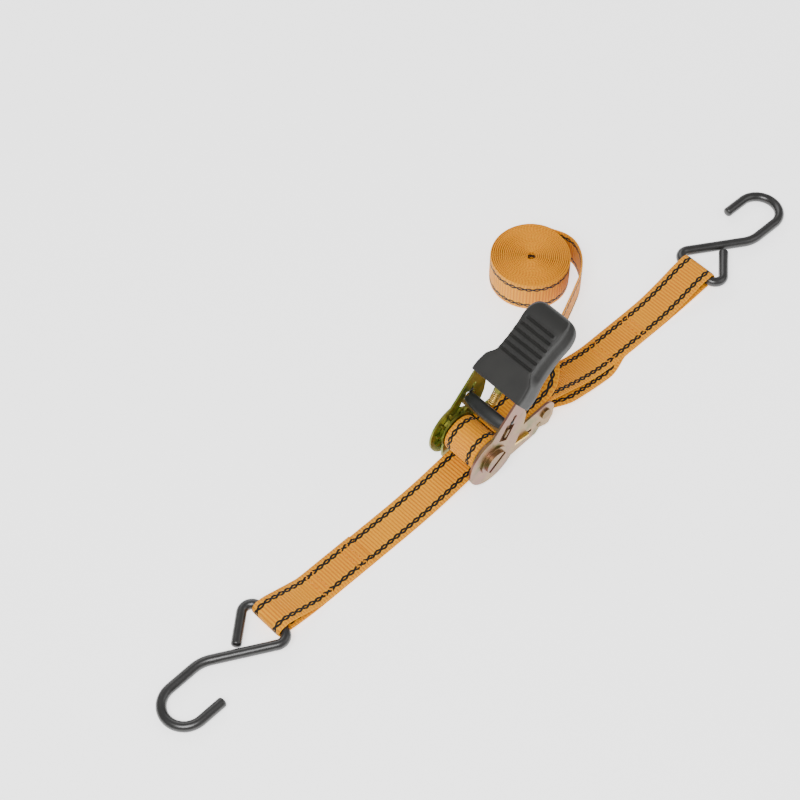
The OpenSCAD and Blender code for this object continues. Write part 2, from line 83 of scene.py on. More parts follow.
class Mat:
    """A small builder of procedural materials."""

    def __init__(self, name):
        self.mat = bpy.data.materials.new(name)
        self.mat.use_nodes = True
        self.nt = self.mat.node_tree
        self.nt.nodes.clear()
        self.out = self.nt.nodes.new("ShaderNodeOutputMaterial")
        self.bsdf = self.nt.nodes.new("ShaderNodeBsdfPrincipled")
        self.nt.links.new(self.bsdf.outputs[0], self.out.inputs[0])

    def new(self, kind, **values):
        n = self.nt.nodes.new(kind)
        for k, v in values.items():
            setattr(n, k, v)
        return n

    def link(self, a, b):
        if isinstance(a, (int, float)):
            b.default_value = a
        elif isinstance(a, tuple):
            b.default_value = a
        else:
            self.nt.links.new(a, b)

    def math(self, op, a, b=0.0, c=0.0):
        n = self.new("ShaderNodeMath", operation=op)
        self.link(a, n.inputs[0])
        self.link(b, n.inputs[1])
        self.link(c, n.inputs[2])
        return n.outputs[0]

    def step(self, x, lo, hi, a=0.0, b=1.0):
        n = self.new("ShaderNodeMapRange", interpolation_type="SMOOTHSTEP")
        self.link(x, n.inputs[0])
        for i, v in enumerate((lo, hi, a, b)):
            n.inputs[i + 1].default_value = v
        return n.outputs[0]

    def mix(self, f, a, b):
        n = self.new("ShaderNodeMix", data_type="RGBA")
        self.link(f, n.inputs[0])
        self.link(a, n.inputs[6])
        self.link(b, n.inputs[7])
        return n.outputs[2]

    def coords(self):
        return self.new("ShaderNodeTexCoord")

    def noise(self, vec, scale, detail=3.0, rough=0.5, distort=0.0):
        n = self.new("ShaderNodeTexNoise")
        self.link(vec, n.inputs["Vector"])
        n.inputs["Scale"].default_value = scale
        n.inputs["Detail"].default_value = detail
        n.inputs["Roughness"].default_value = rough
        n.inputs["Distortion"].default_value = distort
        return n.outputs[0]

    def bump(self, height, strength, distance, normal=None):
        n = self.new("ShaderNodeBump")
        n.inputs["Strength"].default_value = strength
        n.inputs["Distance"].default_value = distance
        self.link(height, n.inputs["Height"])
        if normal is not None:
            self.link(normal, n.inputs["Normal"])
        return n.outputs[0]

    def set(self, **values):
        for k, v in values.items():
            self.link(v, self.bsdf.inputs[k.replace("_", " ")])
        return self.mat


WIDTH = 25 * MM
THICK = 1.2 * MM
# Webbing pattern in mm: rib pitch, stripe distance from the middle, half a chain link.
RIB = 2.2
STRIPE_AT = 8.2
LINK = 5.6


def webbing_material():
    m = Mat("webbing_orange")
    uv = m.new("ShaderNodeUVMap", uv_map="UVMap")
    sep = m.new("ShaderNodeSeparateXYZ")
    m.link(uv.outputs[0], sep.inputs[0])
    u = m.math("MULTIPLY", sep.outputs[0], 1000.0)
    v = m.math("MULTIPLY", sep.outputs[1], 1000.0)
    rib = m.math("SINE", m.math("MULTIPLY", v, 2 * math.pi / RIB))
    warp = m.math("SINE", m.math("MULTIPLY", u, 2 * math.pi / 0.62))
    weft = m.math("SINE", m.math("MULTIPLY", v, 2 * math.pi / 0.55))
    s = m.math("SUBTRACT", m.math("ABSOLUTE", u), STRIPE_AT)
    wave = m.math("SINE", m.math("MULTIPLY", v, math.pi / LINK))
    strand_a = m.math("ABSOLUTE", m.math("SUBTRACT", s, wave))
    strand_b = m.math("ABSOLUTE", m.math("ADD", s, wave))
    chain = m.step(m.math("MINIMUM", strand_a, strand_b), 0.62, 0.88, 1.0, 0.0)
    inside = m.step(m.math("ABSOLUTE", s), 1.75, 1.95, 1.0, 0.0)
    chain = m.math("MULTIPLY", chain, inside)
    rough_noise = m.noise(uv.outputs[0], 900.0, 2.0, 0.6)
    broad = m.noise(uv.outputs[0], 22.0, 2.0, 0.5)
    # painted shade: the orange is darker in the valleys between the ribs and full on their crests
    base = m.mix(m.step(rib, -1.0, 0.6), (0.58, 0.17, 0.0, 1), (0.80, 0.32, 0.0, 1))
    base = m.mix(m.math("MULTIPLY", m.step(broad, 0.35, 0.7), 0.35), base, (0.84, 0.36, 0.0, 1))
    base = m.mix(m.math("MULTIPLY", m.step(rough_noise, 0.3, 0.75), 0.22), base, (0.52, 0.14, 0.0, 1))
    edge = m.step(m.math("ABSOLUTE", u), 11.6, 12.3)
    base = m.mix(m.math("MULTIPLY", edge, 0.45), base, (0.84, 0.36, 0.0, 1))
    cream = m.step(m.math("ABSOLUTE", s), 1.6, 2.2, 1.0, 0.0)
    base = m.mix(m.math("MULTIPLY", cream, 0.35), base, (0.90, 0.44, 0.005, 1))
    dark = m.mix(m.step(rough_noise, 0.3, 0.8), (0.004, 0.0035, 0.003, 1), (0.012, 0.010, 0.008, 1))
    colour = m.mix(chain, base, dark)
    h = m.math("ADD", m.math("MULTIPLY", rib, 0.5), m.math("MULTIPLY", warp, 0.16))
    h = m.math("ADD", h, m.math("MULTIPLY", weft, 0.10))
    h = m.math("ADD", h, m.math("MULTIPLY", chain, 0.7))
    n = m.bump(h, 0.8, 0.00030)
    return m.set(Base_Color=colour, Roughness=0.62, Normal=n, Sheen_Weight=0.05, Sheen_Roughness=0.5,
                 Specular_IOR_Level=0.2)


def zinc_material(name, pink, gold, green, rough=0.34, tint=0.5):
    m = Mat(name)
    co = m.coords().outputs["Object"]
    a = m.noise(co, 42.0, 3.0, 0.55, 0.6)
    b = m.noise(co, 95.0, 2.0, 0.5, 0.4)
    fine = m.noise(co, 1500.0, 3.0, 0.6)
    sheen = tuple(min(1.0, c * 1.5) for c in gold[:3]) + (1,)
    mapped = m.new("ShaderNodeMapping")
    mapped.inputs["Scale"].default_value = (1.0, 1.0, 7.0)
    m.link(co, mapped.inputs["Vector"])
    streak = m.noise(mapped.outputs[0], 260.0, 3.0, 0.6)
    colour = m.mix(m.step(a, 0.36, 0.62), pink, gold)
    colour = m.mix(m.math("MULTIPLY", m.step(b, 0.50, 0.72), tint), colour, green)
    colour = m.mix(m.math("MULTIPLY", m.step(streak, 0.45, 0.8), 0.25), colour, sheen)
    r = m.math("ADD", rough, m.math("MULTIPLY", fine, 0.12))
    n = m.bump(m.math("ADD", m.math("MULTIPLY", fine, 0.5), m.math("MULTIPLY", streak, 0.5)), 0.25, 0.00004)
    return m.set(Base_Color=colour, Metallic=0.85, Roughness=r, Normal=n)


def rubber_material():
    m = Mat("grip_rubber")
    co = m.coords().outputs["Object"]
    fine = m.noise(co, 2600.0, 3.0, 0.6)
    broad = m.noise(co, 60.0, 2.0, 0.5)
    colour = m.mix(m.step(broad, 0.3, 0.7), (0.0070, 0.0068, 0.0058, 1), (0.0110, 0.0106, 0.0090, 1))
    n = m.bump(fine, 0.35, 0.00006)
    r = m.math("ADD", 0.50, m.math("MULTIPLY", fine, 0.16))
    return m.set(Base_Color=colour, Roughness=r, Normal=n, Specular_IOR_Level=0.45)


def vinyl_material():
    m = Mat("hook_vinyl")
    co = m.coords().outputs["Object"]
    wave = m.noise(co, 170.0, 2.0, 0.5)
    fine = m.noise(co, 1800.0, 2.0, 0.5)
    colour = m.mix(m.step(wave, 0.3, 0.7), (0.0075, 0.0073, 0.007, 1), (0.0125, 0.0122, 0.0118, 1))
    n = m.bump(m.math("ADD", wave, m.math("MULTIPLY", fine, 0.08)), 0.30, 0.0003)
    return m.set(Base_Color=colour, Roughness=0.33, Normal=n, Coat_Weight=0.3, Coat_Roughness=0.25)


def black_material():
    m = Mat("black_coating")
    co = m.coords().outputs["Object"]
    fine = m.noise(co, 1400.0, 3.0, 0.6)
    broad = m.noise(co, 80.0, 2.0, 0.5)
    colour = m.mix(m.step(broad, 0.3, 0.7), (0.006, 0.0065, 0.006, 1), (0.012, 0.013, 0.012, 1))
    return m.set(Base_Color=colour, Roughness=m.math("ADD", 0.34, m.math("MULTIPLY", fine, 0.15)),
                 Normal=m.bump(fine, 0.3, 0.00004), Specular_IOR_Level=0.4)


def thread_material():
    m = Mat("stitch_thread")
    co = m.coords().outputs["Object"]
    fine = m.noise(co, 3000.0, 2.0, 0.6)
    colour = m.mix(m.step(fine, 0.3, 0.7), (0.60, 0.19, 0.0, 1), (0.86, 0.36, 0.0, 1))
    return m.set(Base_Color=colour, Roughness=0.6, Normal=m.bump(fine, 0.5, 0.0001))


WEB = webbing_material()
ZINC = zinc_material("zinc_near", (0.215, 0.105, 0.075, 1), (0.25, 0.155, 0.065, 1),
                     (0.07, 0.095, 0.015, 1), 0.30, 0.65)
ZINC_FAR = zinc_material("zinc_far", (0.22, 0.20, 0.04, 1), (0.17, 0.20, 0.03, 1),
                         (0.06, 0.09, 0.015, 1), 0.30, 0.7)
ZINC_GOLD = zinc_material("zinc_gold", (0.62, 0.40, 0.09, 1), (0.72, 0.46, 0.10, 1),
                          (0.34, 0.28, 0.05, 1), 0.22, 0.4)
ZINC_DARK = zinc_material("zinc_dark", (0.15, 0.085, 0.035, 1), (0.18, 0.11, 0.035, 1),
                          (0.07, 0.07, 0.02, 1), 0.36, 0.5)
RUBBER = rubber_material()
VINYL = vinyl_material()
BLACK = black_material()
THREAD = thread_material()

# ---------------------------------------------------------------- mesh helpers


def add_mesh(name, verts, faces, mat, uvs=None, smooth=True):
    me = bpy.data.meshes.new(name)
    me.from_pydata([tuple(v) for v in verts], [], faces)
    me.update()
    if uvs is not None:
        layer = me.uv_layers.new(name="UVMap")
        for loop in me.loops:
            layer.data[loop.index].uv = uvs[loop.vertex_index]
    if smooth:
        me.polygons.foreach_set("use_smooth", [True] * len(me.polygons))
    me.materials.append(mat)
    ob = bpy.data.objects.new(name, me)
    bpy.context.scene.collection.objects.link(ob)
    return ob


def catmull(a, b, c, d, t):
    return (2 * b + (c - a) * t + (2 * a - 5 * b + 4 * c - d) * t * t
            + (3 * b - a - 3 * c + d) * t * t * t) * 0.5


def smooth_path(points, extra, spacing):
    """Runs a smooth curve through the points and samples it evenly. extra is one more value per point."""
    dense = []
    n = len(points)
    for i in range(n - 1):
        p = [points[max(0, min(n - 1, k))] for k in (i - 1, i, i + 1, i + 2)]
        e = [extra[max(0, min(n - 1, k))] for k in (i - 1, i, i + 1, i + 2)]
        parts = max(2, int((p[2] - p[1]).length / (spacing * 0.5)))
        for s in range(parts):
            t = s / parts
            dense.append((catmull(*p, t), e[1] + (e[2] - e[1]) * t))
    dense.append((points[-1], extra[-1]))
    run = [0.0]
    for i in range(1, len(dense)):
        run.append(run[-1] + (dense[i][0] - dense[i - 1][0]).length)
    count = max(2, int(round(run[-1] / spacing)))
    out, k = [], 0
    for i in range(count + 1):
        s = run[-1] * i / count
        while k < len(run) - 2 and run[k + 1] < s:
            k += 1
        f = 0 if run[k + 1] == run[k] else (s - run[k]) / (run[k + 1] - run[k])
        a, b = dense[k], dense[k + 1]
        out.append((a[0].lerp(b[0], f), a[1] + (b[1] - a[1]) * f, s))
    return out


# Stations across the webbing, as shares of its half width, closer together at the rounded edges.
HALF_ACROSS = [0.16, 0.33, 0.5, 0.66, 0.82, 0.92, 0.97, 0.992, 1]
ACROSS = [-q for q in reversed(HALF_ACROSS)] + [0] + HALF_ACROSS


def ribbon(name, path, side=None, amp=0.00011):
    """Webbing swept along path, a list of (point, twist in degrees, distance).

    side, where it is given, is the width's direction. Otherwise a twist of 0 lays the webbing flat.
    """
    verts, uvs, faces = [], [], []
    ring = 2 * len(ACROSS)
    for i, (p, twist, s) in enumerate(path):
        t = (path[min(i + 1, len(path) - 1)][0] - path[max(i - 1, 0)][0]).normalized()
        if side is not None:
            w = (side - t * side.dot(t)).normalized()
        else:
            left = Vector((-t.y, t.x, 0)).normalized()
            up = t.cross(left)
            w = math.cos(math.radians(twist)) * left - math.sin(math.radians(twist)) * up
        n = t.cross(w).normalized()
        wave = amp * math.cos(2 * math.pi * s / (RIB * MM))
        for face in (1, -1):
            for q in (ACROSS if face == 1 else reversed(ACROSS)):
                h = THICK / 2 * math.sqrt(max(0.0, 1 - abs(q) ** 14))
                rib = wave * max(0.0, 1 - abs(q) ** 8)
                verts.append(p + w * (q * WIDTH / 2) + n * face * (h + rib))
                uvs.append((q * WIDTH / 2, s))
        if i:
            a, b = (i - 1) * ring, i * ring
            for j in range(ring):
                k = (j + 1) % ring
                faces.append((a + j, b + j, b + k, a + k))
    faces.append(tuple(range(ring)))
    last = (len(path) - 1) * ring
    faces.append(tuple(last + j for j in range(ring - 1, -1, -1)))
    return add_mesh(name, verts, faces, WEB, uvs)


def tube(name, points, radius, mat, sides=20, up=Z, radii=None):
    verts, faces = [], []
    prev = None
    for i, p in enumerate(points):
        t = (points[min(i + 1, len(points) - 1)] - points[max(i - 1, 0)]).normalized()
        a = (up - t * up.dot(t)) if prev is None else (prev - t * prev.dot(t))
        a = a.normalized()
        prev = a
        b = t.cross(a)
        r = radius if radii is None else radii[i]
        for j in range(sides):
            ang = 2 * math.pi * j / sides
            verts.append(p + a * math.cos(ang) * r + b * math.sin(ang) * r)
        if i:
            for j in range(sides):
                k = (j + 1) % sides
                m, q = (i - 1) * sides, i * sides
                faces.append((m + j, m + k, q + k, q + j))
    faces.append(tuple(range(sides - 1, -1, -1)))
    last = (len(points) - 1) * sides
    faces.append(tuple(range(last, last + sides)))
    return add_mesh(name, verts, faces, mat)


def coil(name, base, axis, length, radius, wire, turns, mat):
    axis = axis.normalized()
    a = Y.copy()
    b = axis.cross(a)
    pts = []
    steps = int(turns * 28)
    for i in range(steps + 1):
        f = i / steps
        ang = 2 * math.pi * turns * f
        ease = f + 0.035 * math.sin(2 * math.pi * f)
        along = wire + (length - 2 * wire) * ease
        pts.append(base + axis * along + a * math.cos(ang) * radius + b * math.sin(ang) * radius)
    return tube(name, pts, wire, mat, 12, axis)


def bevel(ob, width, segments=2, angle=35):
    m = ob.modifiers.new("soft_edges", "BEVEL")
    m.width = width
    m.segments = segments
    m.limit_method = "ANGLE"
    m.angle_limit = math.radians(angle)
    m.harden_normals = False
    return ob


# ---------------------------------------------------------------- webbing

STEP = 0.00055


def arc(cx, cz, r, a0, a1, n):
    angles = [math.radians(a0 + (a1 - a0) * i / n) for i in range(n + 1)]
    return [(cx + r * math.cos(a), cz + r * math.sin(a)) for a in angles]


# In mm: wire radius, webbing mid-layer round the wire, round the bolt and on the wound turns, and the
# heights of one layer and of a second one on the floor.
WIRE = 3.4
HALF_THICK = 0.6
WEB_R = WIRE + 0.5 + HALF_THICK
BOLT_R = 4.0 + 0.35 + HALF_THICK
PACK = 13.5 + 0.3 + HALF_THICK
LOW = 0.72
TOP = LOW + 1.32
main_x, main_z = (BAR_MAIN.x - SPOOL.x) / MM, BAR_MAIN.z / MM
fixed_x, fixed_z = (BAR_FIXED.x - SPOOL.x) / MM, BAR_FIXED.z / MM
bolt_x, bolt_z = (BOLT.x - SPOOL.x) / MM, BOLT.z / MM

main_run = [(0.6, SZ - PACK), (-10, SZ - PACK - 0.4), (-22, 5.4), (-38, 2.9), (-56, 1.3), (-75, 0.8),
            (-100, LOW), (-125, LOW), (-141, LOW), (-151, 1.2), (-162, 2.5),
            (main_x + 4, main_z - WEB_R + 0.1)]
main_run += arc(main_x, main_z, WEB_R, -90, -270, 14)
main_run += [(main_x + 4, main_z + WEB_R - 0.1), (-162, 10.0), (-152, 6.1), (-145, 3.5),
             (-139, TOP + 0.05), (-125, TOP), (-110, TOP), (-97, TOP)]
fixed_run = [(137.2, LOW), (120, LOW), (108, 1.7), (92, 4.7), (74, 9.2), (60, 12.3)]
fixed_run += arc(bolt_x, bolt_z, BOLT_R, -88, -262, 14)
fixed_run += [(60, 21.1), (74, 15.7), (92, 8.5), (108, 3.8), (119, TOP + 0.1), (135, TOP),
              (160, TOP), (176, 2.9), (192, 6.4), (206, 10.7), (fixed_x - 4, fixed_z + WEB_R - 0.2)]
fixed_run += arc(fixed_x, fixed_z, WEB_R, 90, -90, 14)
fixed_run += [(fixed_x - 4, fixed_z - WEB_R + 0.1), (202, 2.4), (186, 1.2), (170, LOW), (155, LOW),
              (137.8, LOW)]


def flat_run(pairs):
    pts = [P(x, 0, z) for x, z in pairs]
    return smooth_path(pts, [0.0] * len(pts), STEP)


def ramp(x, a, b):
    f = min(1.0, max(0.0, (x - a) / (b - a)))
    return f * f * (3 - 2 * f)


def fan_out(path):
    """Shifts the short strap's lower layer 5 mm towards the near side, between the bolt and the seam."""
    out = []
    for p, twist, s in path:
        x = (p.x - SPOOL.x) / MM
        share = ramp(x, 58, 80) * (1 - ramp(x, 112, 134)) * (1 - ramp(s / MM, 74, 86))
        out.append((p - Y * 5.0 * share * MM, twist, s))
    return out


main_path = flat_run(main_run)
strap_main = ribbon("strap_main", main_path, Y)
fixed_path = fan_out(flat_run(fixed_run))
strap_fixed = ribbon("strap_fixed", fixed_path, Y)

# The tail leaves the wound turns, passes over the rear bolt, turns onto its edge and runs into the
# roll. Each point is x, y, z and the twist.
ts = math.radians(20)
tail = [(PACK * math.cos(ts), 0, SZ + PACK * math.sin(ts), 0), (14.7, 0, SZ + 2, 0),
        (16.4, 0, SZ - 0.4, 0), (19.2, 0, SZ - 1.9, 0), (24, 0, SZ - 2.1, 0), (36, 0, SZ + 0.4, 0),
        (46, 0, SZ + 2.4, 0), (54, 0, SZ + 3.4, 0), (61, 1.2, SZ + 4.4, 2), (68, 5.5, SZ + 4.2, 9),
        (76, 12, SZ + 2.2, 32), (85, 18, 18.2, 60), (95, 22, 14.6, 79), (106, 26, 13.4, 90),
        (121, 32.5, 13.2, 90), (137, 39.5, 13.2, 90), (150, 46, 13.2, 90), (160, 54.5, 13.2, 90),
        (166, 65, 13.1, 90), (166.6, 75, 13.0, 90)]
rx, ry = (ROLL.x - SPOOL.x) / MM, (ROLL.y - SPOOL.y) / MM
pitch = 1.34
turns = 18.4
spiral = []
steps = int(turns * 40)
for i in range(steps + 1):
    f = i / steps
    ang = math.radians(14) + 2 * math.pi * turns * f
    r = 27.6 - pitch * turns * f + 0.16 * math.sin(3.1 * ang) * (1 - f)
    spiral.append((rx + r * math.cos(ang), ry + r * math.sin(ang), 12.75, 90))
both = tail + spiral
pts = [P(x, y, z) for x, y, z, e in both]
tail_path = smooth_path(pts, [e for *_, e in both], 0.0008)
strap_tail = ribbon("strap_tail_and_roll", tail_path, amp=0.00009)

# The wound turns on the mandrel, as a spiral seen from the side.
wound = []
turns_w = 3.15
steps = int(turns_w * 60)
for i in range(steps + 1):
    f = i / steps
    ang = math.radians(-90) - 2 * math.pi * turns_w * f
    r = 12.85 - 1.27 * turns_w * f
    wound.append(SPOOL + Vector((r * math.cos(ang), 0, r * math.sin(ang))) * MM)
wound_path = smooth_path(wound, [0.0] * len(wound), STEP)
strap_wound = ribbon("strap_wound", wound_path, Y, amp=0.0001)

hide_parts("webbing_main")
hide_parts("webbing_fixed")
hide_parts("webbing_tail", "webbing_roll")
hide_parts("webbing_wound")
for ob, body in ((strap_main, "frame"), (strap_fixed, "frame"), (strap_tail, "frame"),
                 (strap_wound, "spool")):
    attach(ob, body)


# ---------------------------------------------------------------- stitching

def stitch_rows(name, bands, top, nodes):
    parts = []
    for x0, x1 in bands:
        for row in (x0, x1):
            pts = []
            n = 12
            for i in range(n + 1):
                y = -10.6 + 21.2 * i / n
                dx = 0.9 if i % 2 else -0.9
                pts.append((row + dx, y))
            for (ax, ay), (bx_, by) in zip(pts, pts[1:]):
                parts.append((ax, ay, bx_, by))
    verts, faces = [], []
    for ax, ay, bx_, by in parts:
        a, b = P(ax, ay, top), P(bx_, by, top)
        t = (b - a).normalized()
        side = t.cross(Z)
        base = len(verts)
        rings = 7
        for i in range(rings):
            f = i / (rings - 1)
            c = a.lerp(b, f) + Z * (0.00034 * math.sin(math.pi * f) - 0.00012)
            for j in range(8):
                ang = 2 * math.pi * j / 8
                verts.append(c + (side * math.cos(ang) + Z * math.sin(ang)) * 0.00032)
        for i in range(rings - 1):
            for j in range(8):
                k = (j + 1) % 8
                q = base + i * 8
                faces.append((q + j, q + k, q + 8 + k, q + 8 + j))
        faces.append(tuple(base + j for j in range(7, -1, -1)))
        faces.append(tuple(base + (rings - 1) * 8 + j for j in range(8)))
    ob = add_mesh(name, verts, faces, THREAD)
    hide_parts(*nodes)
    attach(ob, "frame")
    return ob


top_face = TOP + 0.6 + 0.1
stitch_rows("stitches_main", [(-136.6, -131.4), (-107.6, -102.4)], top_face, ["stitching_main"])
stitch_rows("stitches_fixed", [(120.4, 125.6), (152.4, 157.6)], top_face, ["stitching_fixed"])

# ---------------------------------------------------------------- S-hooks

# In mm and degrees: u runs from the eye's bar to the bow and v across the hook.
line_v = 8
bow_u, bow_r, tip_u = 74.5, 14.5, 58.5
bend_u, shank_r, shank_a = 56, 22, 31
corner, closing, leg = 6.2, 40, 21.3


def hook_points():
    sa, ca = math.radians(shank_a), math.radians(closing)
    bend_end = (bend_u - shank_r * math.sin(sa), line_v - shank_r * (1 - math.cos(sa)))
    eye_u = corner * (1 + math.sin(sa))
    eye_v = bend_end[1] - (bend_end[0] - eye_u) * math.tan(sa)
    low = eye_v + corner * math.cos(sa)
    high = -low
    leg_u, leg_v = corner * (1 + math.sin(ca)), high + corner * math.cos(ca)
    pts = [(tip_u, line_v - 2 * bow_r), (66, line_v - 2 * bow_r)]
    pts += arc(bow_u, line_v - bow_r, bow_r, -90, 90, 40)
    pts += [(65, line_v)]
    pts += arc(bend_u, line_v - shank_r, shank_r, 90, 90 + shank_a, 12)
    pts += arc(corner, low, corner, 270 + shank_a, 180, 20)
    pts += [(0, 0)]
    pts += arc(corner, high, corner, 180, 90 - closing, 22)
    pts += [(leg_u + leg * math.cos(ca), leg_v - leg * math.sin(ca))]
    return pts


def make_hook(name, bar, toward, node, body):
    """toward is -1 for the hook on the strap's main end and +1 for the fixed one."""
    slope = math.asin((bar.z / MM - WIRE) / (bow_u + bow_r))
    pts = []
    for u, v in hook_points():
        p = Vector((toward * u * math.cos(slope), -toward * v, -u * math.sin(slope)))
        pts.append(bar + p * MM)
    first, last = (pts[0] - pts[1]).normalized(), (pts[-1] - pts[-2]).normalized()
    head = [(0.98, 0.3), (0.85, 0.62), (0.6, 0.86), (0.3, 0.97), (0.12, 1.0)]
    start = [pts[0] + first * (a * WIRE * 0.62 * MM) for a, _ in head]
    finish = [pts[-1] + last * (a * WIRE * 0.62 * MM) for a, _ in reversed(head)]
    taper = [r * WIRE * MM for _, r in head]
    radii = taper + [WIRE * MM] * len(pts) + taper[::-1]
    ob = tube(name, start + pts + finish, WIRE * MM, VINYL, 28, Z, radii)
    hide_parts(node)
    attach(ob, body)
    return ob


make_hook("s_hook_main", BAR_MAIN, -1, "hook_main", "main_hook")
make_hook("s_hook_fixed", BAR_FIXED, 1, "hook_fixed", "fixed_hook")

# ---------------------------------------------------------------- grip

GRIP_A = math.radians(33)
ga = Vector((math.cos(GRIP_A), 0, math.sin(GRIP_A)))
gb = Vector((-math.sin(GRIP_A), 0, math.cos(GRIP_A)))
# In mm: the mouth's distance from the mandrel and the grip's length.
G0, GL = 38.2, 61.0


def curve(keys, x):
    """A smooth value through (x, value) keys."""
    if x <= keys[0][0]:
        return keys[0][1]
    for i in range(len(keys) - 1):
        if x <= keys[i + 1][0]:
            a, b = keys[i], keys[i + 1]
            f = (x - a[0]) / (b[0] - a[0])
            before, after = keys[max(0, i - 1)], keys[min(len(keys) - 1, i + 2)]
            h = b[0] - a[0]
            s0 = (b[1] - before[1]) / (b[0] - before[0]) if i else (b[1] - a[1]) / h
            s1 = (after[1] - a[1]) / (after[0] - a[0]) if i + 2 < len(keys) else (b[1] - a[1]) / h
            return ((2 * f**3 - 3 * f**2 + 1) * a[1] + (f**3 - 2 * f**2 + f) * h * s0
                    + (-2 * f**3 + 3 * f**2) * b[1] + (f**3 - f**2) * h * s1)
    return keys[-1][1]


# Half width, top and underside along the grip, in mm.
HALF = [(0, 21.4), (6, 21.3), (12, 20.3), (18, 18.9), (24, 18.2), (32, 17.9), (40, 18.2), (46, 18.9),
        (50, 18.9), (54, 18.2), (57, 16.9), (59, 15.0), (60.2, 12.6), (60.8, 9.6), (61, 6.5)]
HIGH = [(0, 26.3), (3, 26.7), (32, 26.9), (50, 26.7), (55, 25.2), (59, 21.8), (60.4, 19.4), (61, 17.0)]
LOWB = [(0, 8.7), (8, 8.3), (32, 8.5), (46, 9.2), (54, 10.6), (58, 13.0), (60.2, 15.2), (61, 17.0)]
# Half section of the grip from the top middle round to the bottom middle: share of the half width,
# share of the height.
SECTION = [(0, 1.0), (0.3, 1.0), (0.62, 0.998), (0.755, 0.985), (0.785, 0.95), (0.80, 0.88),
           (0.82, 0.74), (0.90, 0.62), (0.98, 0.50), (1.0, 0.36), (1.0, 0.22), (0.985, 0.10),
           (0.93, 0.02), (0.8, 0.0), (0.5, 0.0), (0, 0.0)]


# The same at the mouth, where the moulding is a plain box round the metal arms.
MOUTH = [(0, 1.0), (0.3, 1.0), (0.68, 1.0), (0.86, 0.998), (0.92, 0.985), (0.955, 0.94),
         (0.972, 0.86), (0.98, 0.72), (0.99, 0.56), (1.0, 0.36), (1.0, 0.22), (0.985, 0.10),
         (0.93, 0.02), (0.8, 0.0), (0.5, 0.0), (0, 0.0)]


def section_at(q, a):
    """q runs 0..1 from the top middle to the bottom middle, a along the grip."""
    x = q * (len(SECTION) - 1)
    i = min(int(x), len(SECTION) - 2)
    f = ramp(a, 12.6, 21)
    rows = [max(0, min(len(SECTION) - 1, k)) for k in (i - 1, i, i + 1, i + 2)]
    r = catmull(*[Vector(MOUTH[k]).lerp(Vector(SECTION[k]), f) for k in rows], x - i)
    return r.x, r.y


def grip_point(a, q):
    """q runs 0..1 once round the section."""
    w, hi, lo = curve(HALF, a), curve(HIGH, a), curve(LOWB, a)
    side = 1 if q < 0.5 else -1
    yy, bb = section_at(2 * q if q < 0.5 else 2 * (1 - q), a)
    return side * w * yy, lo + (hi - lo) * bb


def build_grip():
    along = [0, 0.15, 0.5]
    a = 1.0
    while a < 50:
        along.append(a)
        a += 0.42
    while a < GL - 0.1:
        along.append(a)
        a += 0.25
    along.append(GL - 0.02)
    n = 260
    verts, faces = [], []
    for i, a in enumerate(along):
        shrink = 1.0 if i > 1 else (0.975 if i == 0 else 0.992)
        for j in range(n):
            y, b = grip_point(a, j / n)
            cb = (curve(HIGH, a) + curve(LOWB, a)) / 2
            y, b = y * shrink, cb + (b - cb) * shrink
            top = curve(HIGH, a)
            if b > top - 1.2:
                g = 0.0
                for k in range(6):
                    centre = 22 + 5.0 * k
                    dx = abs(a - centre)
                    over = max(0.0, abs(y) - (12.6 if k < 4 else 11.8 - 1.2 * (k - 4)))
                    d = math.hypot(dx, over)
                    if d < 2.4:
                        g += -1.15 * math.exp(-(d / 0.75) ** 2) + 0.36 * math.exp(-((d - 1.6) / 0.45) ** 2)
                b += g
            verts.append(SPOOL + (ga * (G0 + a) + gb * b) * MM + Y * y * MM)
        if i:
            p, q = (i - 1) * n, i * n
            for j in range(n):
                k = (j + 1) % n
                faces.append((p + j, p + k, q + k, q + j))
    inner = len(verts)
    # the mouth: a rim, then a recess that stops at the metal bridge
    for depth, scale in ((0.0, 0.90), (0.8, 0.88), (0.85, 0.86)):
        for j in range(n):
            y, b = grip_point(0, j / n)
            cb = (curve(HIGH, 0) + curve(LOWB, 0)) / 2
            yy, bb = y * scale, cb + (b - cb) * (scale - 0.06)
            verts.append(SPOOL + (ga * (G0 + depth) + gb * bb) * MM + Y * yy * MM)
    for j in range(n):
        k = (j + 1) % n
        faces.append((j, inner + j, inner + k, k))
        for r in (0, 1):
            q = inner + r * n
            faces.append((q + j, q + n + j, q + n + k, q + k))
    faces.append(tuple(inner + 2 * n + j for j in range(n)))
    faces.append(tuple((len(along) - 1) * n + j for j in range(n)))
    ob = add_mesh("grip_moulding", verts, faces, RUBBER)
    bm = bmesh.new()
    bm.from_mesh(ob.data)
    bmesh.ops.recalc_face_normals(bm, faces=bm.faces)
    bm.to_mesh(ob.data)
    bm.free()
    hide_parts("grip")
    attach(ob, "handle")
    return ob


build_grip()

# ---------------------------------------------------------------- release bar and springs

dd = DRIVE_DIR.normalized()
dn = Vector((-dd.z, 0, dd.x))
TIP = 17.9


